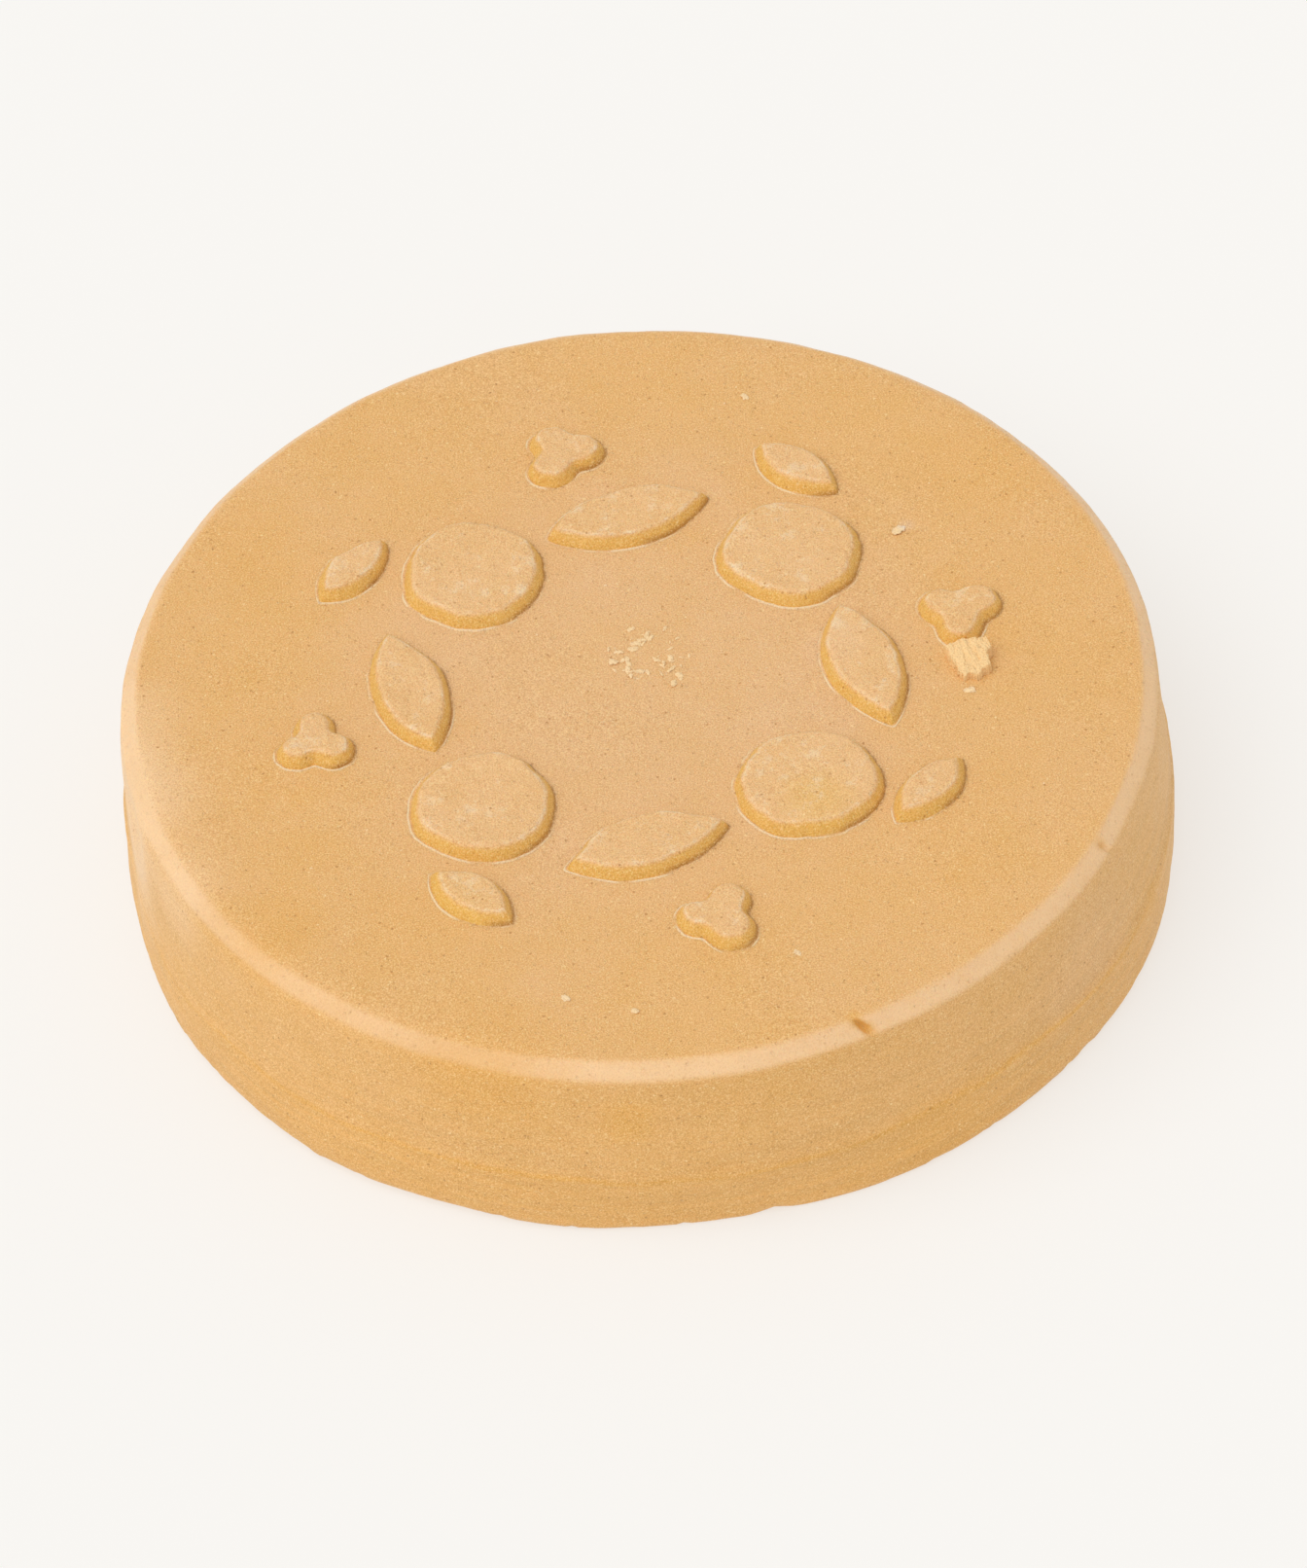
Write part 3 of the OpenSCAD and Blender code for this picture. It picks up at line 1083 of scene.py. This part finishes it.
    def shoulder(self, flat: Socket, depth: Socket, rise: Socket,
                 wall: Socket) -> tuple[Socket, Socket, Socket]:
        """Works out the motif's wall and top from the distance inside its outline.

        Args:
            flat: The point in the plane of the top face.
            depth: How far inside the outline it is.
            rise: The motif's height.
            wall: How wide its sloping wall is.

        Returns:
            The height, how steep the motif is there, and where its top edge runs.
        """
        uneven = self.noise(flat, 1.6 * MM, detail=3, seed=2.5)
        width = self.product(wall, self.math("MULTIPLY_ADD", uneven, 0.45, 1.0))
        across = self.math("DIVIDE", depth, width)
        share = self.capped(across)
        body = self.rest(self.math("POWER", self.rest(share), self.shoulder_power))
        worn = self.noise(flat, 1.3 * MM, detail=4, seed=6.5, roughness=0.6)
        dished = self.product(self.ramp(depth, wall, self.product(wall, 4.5)), self.size("Dishing"))
        level = self.math("SUBTRACT", self.top_level, dished)
        height = self.product(body, self.math("MULTIPLY_ADD", worn, 0.14, level), rise)
        steep = self.ramp(share, 0.72, 0.38, 0.0, 1.0)
        steep = self.product(steep, self.math("GREATER_THAN", depth, 0.0))
        off_crest = self.math("ABSOLUTE", self.math("SUBTRACT", across, self.crest_at))
        return height, steep, self.ramp(off_crest, 0.0, self.crest_reach, 1.0, 0.0)

    def flash_and_highlight(self, flat: Socket, beyond: Socket, inside: Socket, outward: Socket) -> Socket:
        """Returns where a thread of flash stands round the foot of the motif, in broken lengths, only on
        the side facing the key light, where the finish also paints it pale as a highlight.
        """
        wander = self.product(self.noise(flat, 1.8 * MM, detail=2, seed=4.4), 0.08 * MM)
        middle = self.math("ADD", wander, self.flash_gap)
        gap = self.math("ABSOLUTE", self.math("SUBTRACT", beyond, middle))
        thread = self.ramp(gap, 0.02 * MM, 0.12 * MM, 1.0, 0.0)
        broken = self.ramp(self.noise(flat, 2.2 * MM, detail=2, seed=7.5), -0.2, 0.1)
        facing = self.vector("DOT_PRODUCT", outward, around(self.flash_highlight_side))
        return self.product(thread, broken, self.ramp(facing, -0.35, 0.25), self.rest(inside))


class Motif(Enum):
    """The kinds of motif in the relief, by the stem of their nodes' names."""

    FRUIT = "fruit"
    LEAF = "leaf"
    LEAFLET = "leaflet"
    BERRIES = "berries"


@dataclass(frozen=True)
class Moulding:
    """How one kind of motif is moulded and worn."""

    wall_width: float
    wobble: float
    dishing: float
    tip_rounding: int


@dataclass
class Relief:
    """The ring of raised motifs on the top face."""

    points_round: int = 192
    rings_inside: int = 32
    rings_outside: int = 8
    skirt: float = 0.5 * MM
    finish: SoapFinish = SoapFinish(
        "moulded_soap", bloom=linear(242, 197, 145), deep=linear(238, 189, 94), bloom_share=0.45,
    )
    mouldings: dict[Motif, Moulding] = field(default_factory=lambda: {
        Motif.FRUIT: Moulding(0.8 * MM, 0.9 * MM, 0.03, 4),
        Motif.LEAF: Moulding(0.75 * MM, 0.5 * MM, 0.02, 3),
        Motif.LEAFLET: Moulding(0.8 * MM, 0.4 * MM, 0.1, 3),
        Motif.BERRIES: Moulding(0.75 * MM, 0.8 * MM, -0.04, 16),
    })

    @staticmethod
    def outline(node: str) -> np.ndarray:
        """Reads the outline of a CAD motif where it meets the top face.

        Args:
            node: The motif's node.

        Returns:
            The outline's corners in order, one row each.
        """
        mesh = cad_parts[node].data
        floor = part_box(node)[0].z
        key = {v.index: tuple(round(c / SAME) for c in v.co) for v in mesh.vertices}
        low = {i for i in key if abs(mesh.vertices[i].co.z - floor) < SAME}
        uses: dict[frozenset, int] = {}
        for face in mesh.polygons:
            if all(i in low for i in face.vertices):
                for a, b in face.edge_keys:
                    pair = frozenset((key[a], key[b]))
                    uses[pair] = uses.get(pair, 0) + 1
        beside: dict[tuple, list[tuple]] = {}
        for pair, times in uses.items():
            if times == 1 and len(pair) == 2:
                first, second = pair
                beside.setdefault(first, []).append(second)
                beside.setdefault(second, []).append(first)
        start = min(beside)
        walk, previous, here = [start], start, beside[start][0]
        while here != start:
            walk.append(here)
            here, previous = next(n for n in beside[here] if n != previous), here
        return np.array(walk, float) * SAME

    def evened(self, corners: np.ndarray, rounding: int) -> np.ndarray:
        """Returns an outline as evenly spaced points, with its sharpest corners rubbed round."""
        loop = np.vstack([corners, corners[:1]])
        along = np.concatenate([[0.0], np.cumsum(np.linalg.norm(np.diff(loop, axis=0), axis=1))])
        wanted = np.linspace(0.0, along[-1], self.points_round, endpoint=False)
        even = np.column_stack([np.interp(wanted, along, loop[:, k]) for k in range(3)])
        for _ in range(rounding):
            even = 0.5 * even + 0.25 * (np.roll(even, 1, axis=0) + np.roll(even, -1, axis=0))
        return even

    def build(self) -> list[bpy.types.Object]:
        """Makes one piece for each CAD motif and returns them."""
        tree = RaisedMotifTree()
        finish = self.finish.material()
        pieces = []
        for kind, moulding in self.mouldings.items():
            nodes = sorted(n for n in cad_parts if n.rsplit("_", 1)[0] == kind.value)
            for seed, node in enumerate(nodes):
                low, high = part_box(node)
                even = self.evened(self.outline(node), moulding.tip_rounding)
                piece = tree.run(
                    f"worn_{node}", line_mesh(node, even, closed=True),
                    Centre=tuple(even.mean(axis=0)), Rings_inside=self.rings_inside,
                    Rings_outside=self.rings_outside, Rise=high.z - low.z,
                    Wall_width=moulding.wall_width, Skirt=self.skirt, Top_swell=Cake.top_swell,
                    Wobble_seed=10.0 + seed, Wobble=moulding.wobble, Dishing=moulding.dishing,
                    Finish=finish,
                )
                fit_out(piece, "soap_relief", node)
                pieces.append(piece)
        return pieces


class CrumbTree(GeometryTree):
    """Sets ragged crumbs on given points, and leaves flakes and specks on the top face."""

    # Least and greatest radius of a flake and of a speck
    flake_radii = (0.12 * MM, 0.42 * MM)
    speck_radii = (0.04 * MM, 0.11 * MM)
    # Least and greatest width, as shares of the longest radius
    crumb_widths = (0.5, 0.9)
    flake_widths = (0.2, 0.6)
    # Least and greatest thickness, as shares of the longest radius
    thicknesses = (0.14, 0.34)
    # How wide the patches of the scuff and of the dust are
    scuff_patch = 1.3 * MM
    dust_patch = 4.0 * MM
    # Furthest that a crumb leans out of the level, in radians
    lean = 0.2
    # Size of crumb from which its roughness grows no more
    largest_torn = 0.5 * MM
    # Points on each side of the sheet that the scuff and the dust are scattered over
    sheet_points = 60

    def __init__(self) -> None:
        """Writes the tree."""
        super().__init__("scattered_crumbs")
        seed = self.size("Seed", "Int")
        crumb, speck = self.ball(4), self.ball(3)
        given = self.sources.outputs["Geometry"]
        crumbs = self.planted(given, crumb, self.named("crumb_radius"), self.crumb_widths, 1)
        scuff = self.dusting("Scuff", self.scuff_patch, seed)
        dust = self.dusting("Dust", self.dust_patch, seed)
        flake_radius = self.chance(*self.flake_radii, seed)
        flakes = self.planted(scuff, crumb, flake_radius, self.flake_widths, 2)
        speck_radius = self.chance(*self.speck_radii, seed)
        specks = self.planted(dust, speck, speck_radius, self.flake_widths, 3)
        joined = self.node("GeometryNodeJoinGeometry")
        for part in (crumbs, flakes, specks):
            self.feed(joined.inputs[0], part)
        place = self.place()
        outward = self.node("GeometryNodeInputNormal").outputs[0]
        size = self.math("MINIMUM", self.named("grown"), self.largest_torn)
        torn = self.noise(place, 0.3 * MM, detail=3, seed=3.3, roughness=0.7)
        flat = self.vector("MULTIPLY", outward, (1.0, 1.0, 0.3))
        offset = self.scaled(flat, self.product(torn, size, 0.9))
        real = self.through(joined.outputs[0], "GeometryNodeRealizeInstances")
        self.close(self.through(real, "GeometryNodeSetPosition", Offset=offset))

    def ball(self, fineness: int) -> Socket:
        """Returns a ball of radius 1."""
        made = self.node("GeometryNodeMeshIcoSphere")
        made.inputs["Radius"].default_value = 1.0
        made.inputs["Subdivisions"].default_value = fineness
        return made.outputs[0]

    def chance(self, low: float, high: float, seed: Any) -> Socket:
        """Returns a random number for each point, between two limits."""
        made = self.node("FunctionNodeRandomValue", data_type="FLOAT")
        self.feed(made.inputs[2], low)
        self.feed(made.inputs[3], high)
        self.feed(made.inputs["Seed"], seed)
        return made.outputs[1]

    def dusting(self, name: str, patch: float, seed: Socket) -> Socket:
        """Scatters points in patches over a round place on the top face.

        Args:
            name: What is scattered, for the names of the inputs.
            patch: How wide the patches are.
            seed: The seed of the scatter.

        Returns:
            The points.
        """
        middle = self.size(f"{name} middle", "Vector")
        radius = self.size(f"{name} radius")
        density = self.size(f"{name} density")
        sheet = self.node("GeometryNodeMeshGrid")
        for way in ("X", "Y"):
            self.feed(sheet.inputs[f"Size {way}"], self.product(radius, 2.0))
            sheet.inputs[f"Vertices {way}"].default_value = self.sheet_points
        place = self.place()
        patches = self.ramp(self.noise(place, patch, detail=2, seed=2.7), -0.1, 0.3)
        near = self.ramp(self.vector("LENGTH", place), self.product(radius, 0.6), radius, 1.0, 0.0)
        field_of_points = self.node("GeometryNodeDistributePointsOnFaces")
        self.feed(field_of_points.inputs["Mesh"], sheet.outputs["Mesh"])
        self.feed(field_of_points.inputs["Density"], self.product(patches, near, density))
        self.feed(field_of_points.inputs["Seed"], seed)
        return self.through(field_of_points.outputs[0], "GeometryNodeSetPosition", Offset=middle)

    def planted(self, points: Socket, shape: Socket, radius: Socket, width: tuple[float, float],
                seed: int) -> Socket:
        """Sets a shape on each point, turned at random and pressed flat.

        Args:
            points: The points.
            shape: The shape, of radius 1.
            radius: The longest radius on each point.
            width: The least and the greatest width, as shares of that radius.
            seed: The seed of the chance.

        Returns:
            The shapes.
        """
        made = self.node("GeometryNodeInstanceOnPoints")
        turn = self.node("FunctionNodeRandomValue", data_type="FLOAT_VECTOR")
        turn.inputs[0].default_value = (-self.lean, -self.lean, 0.0)
        turn.inputs[1].default_value = (self.lean, self.lean, math.tau)
        turn.inputs["Seed"].default_value = seed
        shares = self.join(1.0, self.chance(*width, seed), self.chance(*self.thicknesses, seed))
        scale = self.scaled(shares, radius)
        self.feed(made.inputs["Points"], points)
        self.feed(made.inputs["Instance"], shape)
        self.feed(made.inputs["Rotation"], turn.outputs[0])
        self.feed(made.inputs["Scale"], scale)
        stored = self.node("GeometryNodeStoreNamedAttribute", domain="INSTANCE")
        self.feed(stored.inputs[0], made.outputs[0])
        self.feed(stored.inputs["Name"], "grown")
        self.feed(stored.inputs["Value"], radius)
        return stored.outputs[0]


@dataclass
class Debris:
    """The chunk torn from the soap, and the crumbs that stick to the top face."""

    flake_spokes: int = 320
    flake_rings: int = 110
    flake_corners: tuple[tuple[float, float], ...] = (
        (-1.0, 0.75), (-0.3, 0.98), (0.8, 0.95), (1.0, 0.4), (0.75, 0.05), (0.9, -0.5),
        (0.5, -0.72), (0.3, -0.98), (0.0, -0.8), (-0.3, -0.98), (-0.7, -0.2),
    )
    flake_root: float = -1.25
    flake_top: float = 0.98
    scuff_place: tuple[float, float] = (0.6 * MM, 1.8 * MM)
    scuff_radius: float = 3.4 * MM
    scuff_density: float = 6.0e6
    dust_density: float = 1.2e5
    torn: SoapFinish = SoapFinish(
        "torn_soap", sound=linear(252, 217, 162), bloom=linear(254, 224, 180),
        deep=linear(246, 204, 142), crumble=0.025, roughness=0.7, glow=0.05,
    )
    crumb: SoapFinish = SoapFinish(
        "crumbled_soap", sound=linear(254, 225, 178), bloom=linear(255, 250, 244),
        deep=linear(250, 214, 162), bloom_share=0.1, roughness=0.7, glow=0.0,
    )

    def places(self) -> tuple[np.ndarray, np.ndarray]:
        """Reads where the CAD crumbs lie.

        Returns:
            The middle of each crumb's foot, and each crumb's radius.
        """
        shape = bmesh.new()
        shape.from_mesh(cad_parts["loose_crumbs"].data)
        bmesh.ops.remove_doubles(shape, verts=shape.verts, dist=SAME)
        left = set(shape.verts)
        middles, radii = [], []
        while left:
            island, edge = set(), [min(left, key=lambda v: v.index)]
            while edge:
                vert = edge.pop()
                if vert not in island:
                    island.add(vert)
                    edge.extend(e.other_vert(vert) for e in vert.link_edges)
            left -= island
            spots = np.array([v.co for v in island], float)
            low, high = spots.min(axis=0), spots.max(axis=0)
            middles.append([(low[0] + high[0]) / 2, (low[1] + high[1]) / 2, low[2]])
            radii.append((high[0] - low[0]) / 2)
        shape.free()
        order = np.lexsort(np.array(middles).T)
        return np.array(middles)[order], np.array(radii)[order]

    def crumbs(self, finish: bpy.types.Material) -> bpy.types.Object:
        """Makes the crumbs and the specks as one piece and returns it."""
        middles, radii = self.places()
        mesh = bpy.data.meshes.new("crumb_places")
        mesh.from_pydata(middles.tolist(), [], [])
        mesh.attributes.new("crumb_radius", "FLOAT", "POINT").data.foreach_set("value", radii)
        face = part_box("cake")[1]
        piece = CrumbTree().run(
            "soap_crumbs", mesh, Seed=5, Scuff_middle=(*self.scuff_place, face.z),
            Scuff_radius=self.scuff_radius, Scuff_density=self.scuff_density,
            Dust_middle=(0.0, 0.0, face.z), Dust_radius=face.x - 3 * MM,
            Dust_density=self.dust_density, Finish=finish,
        )
        fit_out(piece, "soap_crumb", "loose_crumbs")
        return piece

    def flake(self, finish: bpy.types.Material) -> bpy.types.Object:
        """Makes the torn flake, a ragged slab in its CAD solid's box, and returns it."""
        low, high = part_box("torn_flake")
        middle, half = (low + high) / 2, (high - low) / 2
        places, spokes = [], self.flake_spokes
        for ring in range(self.flake_rings + 1):
            share = math.sin(math.pi / 2 * ring / self.flake_rings)
            for turn, reach in self.torn_edge():
                places.append(self.torn_place(heading(turn) * (reach * share), share))
        places += [Vector((p.x, p.y, self.flake_root)) for p in places[-spokes:]]
        shape = bmesh.new()
        verts = [shape.verts.new(middle + place * half) for place in places]
        for row in range(self.flake_rings + 1):
            for k in range(spokes):
                a, b = row * spokes + k, row * spokes + (k + 1) % spokes
                shape.faces.new((verts[a], verts[b], verts[b + spokes], verts[a + spokes]))
        shape.faces.new(verts[-spokes:])
        bmesh.ops.remove_doubles(shape, verts=shape.verts, dist=SAME)
        mesh = bpy.data.meshes.new("torn_flake")
        shape.to_mesh(mesh)
        shape.free()
        mesh.materials.append(finish)
        mesh.polygons.foreach_set("use_smooth", [True] * len(mesh.polygons))
        piece = piece_of("torn_soap_flake", mesh)
        fit_out(piece, "soap_crumb", "torn_flake")
        return piece

    def torn_edge(self) -> list[tuple[float, float]]:
        """Works out the flake's ragged outline.

        Returns:
            Each spoke's turn, and how far the flake reaches along it.
        """
        loop = np.array([*self.flake_corners, self.flake_corners[0]])
        share = np.linspace(0.0, len(loop) - 1, 2000, endpoint=False)
        x, y = (np.interp(share, range(len(loop)), loop[:, k]) for k in range(2))
        turns = np.arange(self.flake_spokes) * math.tau / self.flake_spokes
        reaches = np.interp(turns, np.arctan2(y, x), np.hypot(x, y), period=math.tau)
        edge = []
        for turn, reach in zip(turns.tolist(), reaches.tolist()):
            way = heading(turn) * reach
            ragged = 0.1 * noise.noise(way * 4.0) + 0.09 * noise.noise(way * 11.0)
            edge.append((turn, reach * (1.0 + ragged * (1.0 if way.y < 0.5 else 0.4))))
        return edge

    def torn_place(self, spot: Vector, share: float) -> Vector:
        """Lifts a point of the flake to its torn, fibrous top.

        Args:
            spot: The point, as shares of the flake's half sizes.
            share: How far it lies from the middle to the edge.

        Returns:
            The lifted point.
        """
        fibre = Vector((4.5 * spot.x + 1.5 * spot.y, 1.2 * spot.y - 0.6 * spot.x, 0.0))
        lift = 0.12 + 0.25 * spot.x + 0.35 * spot.y
        for place, height in ((fibre, 0.2), (fibre * 2.7, 0.1), (spot * 16.0, 0.05)):
            lift += height * noise.noise(place)
        torn = 0.5 + 0.5 * noise.noise(spot * 2.2 + Vector((3.0, 1.0, 0.0)))
        drop = max(0.0, (share - 0.9) / 0.1) ** 3 * 1.2 + 0.3 * torn * max(0.0, -spot.y - 0.2)
        return Vector((spot.x, spot.y, min(lift - drop, self.flake_top)))

    def build(self) -> list[bpy.types.Object]:
        """Makes the flake and the crumbs and returns them."""
        return [self.flake(self.torn.material()), self.crumbs(self.crumb.material())]


@dataclass
class Studio:
    """The pale floor, the soft lights and the camera."""

    floor_radius: float = 6.0
    floor_drop: float = 0.02 * MM
    floor_tone: Colour = linear(158, 158, 158)
    table_tone: Colour = linear(252, 250, 246)
    table_glow: float = 0.62
    sky_tone: Colour = linear(255, 253, 250)
    sky_strength: float = 0.64
    key_azimuth: float = -148
    key_elevation: float = 60
    key_spread: float = 60
    key_strength: float = 1.24
    camera_elevation: float = 46.99
    camera_roll: float = 3.62
    camera_distance: float = 550.25 * MM
    camera_slide: tuple[float, float] = (0.58 * MM, -1.86 * MM)
    lens: float = 191.2

    def floor(self) -> None:
        """Lays a faintly glowing light table just under the puck's foot."""
        shape = bmesh.new()
        down = Matrix.Translation((0.0, 0.0, -self.floor_drop))
        bmesh.ops.create_circle(shape, cap_ends=True, segments=96, radius=self.floor_radius, matrix=down)
        mesh = bpy.data.meshes.new("floor")
        shape.to_mesh(mesh)
        shape.free()
        made = bpy.data.materials.new("pale_floor")
        made.use_nodes = True
        shader = made.node_tree.nodes["Principled BSDF"]
        shader.inputs["Base Color"].default_value = self.floor_tone
        shader.inputs["Roughness"].default_value = 0.9
        shader.inputs["Specular IOR Level"].default_value = 0.1
        shader.inputs["Emission Color"].default_value = self.table_tone
        shader.inputs["Emission Strength"].default_value = self.table_glow
        mesh.materials.append(made)
        added("floor", mesh)

    def sky(self) -> None:
        """Fills the room with even, nearly white light."""
        world = bpy.data.worlds.new("room")
        world.use_nodes = True
        ground = world.node_tree.nodes["Background"]
        ground.inputs["Color"].default_value = self.sky_tone
        ground.inputs["Strength"].default_value = self.sky_strength
        bpy.context.scene.world = world
        bpy.context.scene.view_settings.view_transform = "Standard"

    def key(self) -> None:
        """Hangs one broad, soft light on the left, too far away to fall off over the floor."""
        lamp = bpy.data.lights.new("key_light", "SUN")
        lamp.angle = math.radians(self.key_spread)
        lamp.energy = self.key_strength
        lamp.color = self.sky_tone[:3]
        flat = around(self.key_azimuth) * math.cos(math.radians(self.key_elevation))
        away = flat + Vector((0.0, 0.0, math.sin(math.radians(self.key_elevation))))
        hung = added("key_light", lamp)
        hung.location = away
        hung.rotation_euler = away.to_track_quat("Z", "Y").to_euler()

    def camera(self) -> None:
        """Sets the camera up over the front edge of the puck, tilted a little."""
        low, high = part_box("cake")
        tilt = math.radians(self.camera_elevation)
        back = Vector((0.0, -math.cos(tilt), math.sin(tilt)))
        right = Vector((1.0, 0.0, 0.0))
        up = back.cross(right)
        middle = (low + high) / 2
        slide = right * self.camera_slide[0] + up * self.camera_slide[1]
        turned = Matrix((right, up, back)).transposed() @ Matrix.Rotation(
            -math.radians(self.camera_roll), 3, "Z"
        )
        lens = bpy.data.cameras.new("camera")
        lens.lens = self.lens
        lens.clip_end = 20.0
        seat = added("camera", lens)
        stand = middle + back * self.camera_distance + slide
        seat.matrix_world = Matrix.Translation(stand) @ turned.to_4x4()
        bpy.context.scene.camera = seat

    def build(self) -> None:
        """Sets up the camera, the floor and the lights."""
        self.camera()
        self.floor()
        self.sky()
        self.key()


def main() -> None:
    """Builds the studio and then the puck, piece by piece."""
    logging.basicConfig(level=logging.INFO, format="%(name)s: %(message)s")
    Studio().build()
    Cake().build()
    Relief().build()
    Debris().build()


if __name__ == "__main__":
    main()
